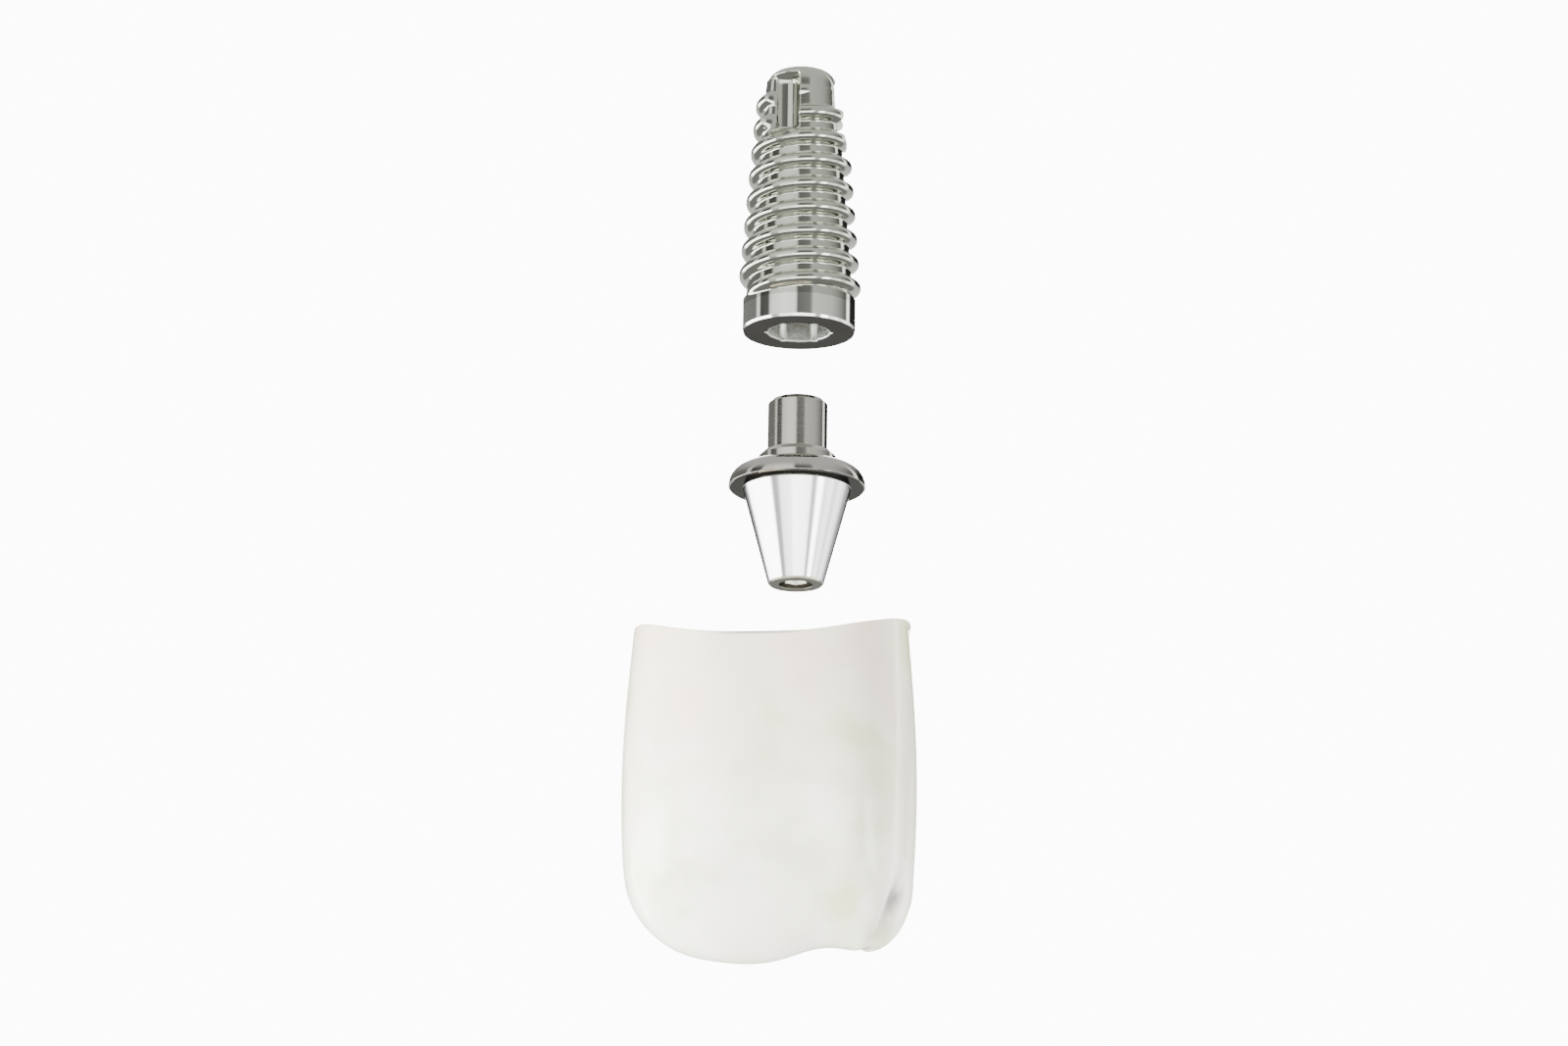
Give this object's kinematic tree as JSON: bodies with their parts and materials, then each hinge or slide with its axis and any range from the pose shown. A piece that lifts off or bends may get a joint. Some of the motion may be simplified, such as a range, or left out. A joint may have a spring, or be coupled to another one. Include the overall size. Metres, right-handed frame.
{
  "type": "dental implant",
  "caption": "Threaded implant with a collar, tapered screw-fixed abutment with a domed flange, and molar crown, taken apart along one axis.",
  "frame": {"origin": "centre of the implant's platform, the flat lower face of its collar", "axes": "+Z along the implant's axis, up from the platform to the apex, with the abutment and the crown below; +X along the tooth row; -Y towards the cheek"},
  "size_m": [0.0105, 0.0095, 0.0338],
  "materials": {
    "fixture_metal": "polished titanium",
    "abutment_metal": "polished titanium",
    "screw_metal": "polished titanium",
    "porcelain": "glazed"
  },
  "bodies": {
    "implant_body": {"implant_fixture": "fixture_metal"},
    "abutment_body": {"abutment": "abutment_metal"},
    "screw_body": {"abutment_screw": "screw_metal"},
    "crown_body": {"crown": "porcelain"}
  },
  "joints": [
    {"name": "abutment_seat", "type": "slide", "parent": "implant_body", "child": "abutment_body", "axis": [0, 0, 1], "range_m": [0, 0.00453]},
    {"name": "screw_drive", "type": "slide", "parent": "abutment_body", "child": "screw_body", "axis": [0, 0, 1], "range_m": [0, 0.0024]},
    {"name": "crown_seat", "type": "slide", "parent": "abutment_body", "child": "crown_body", "axis": [0, 0, 1], "range_m": [0, 0.00656]}
  ]
}
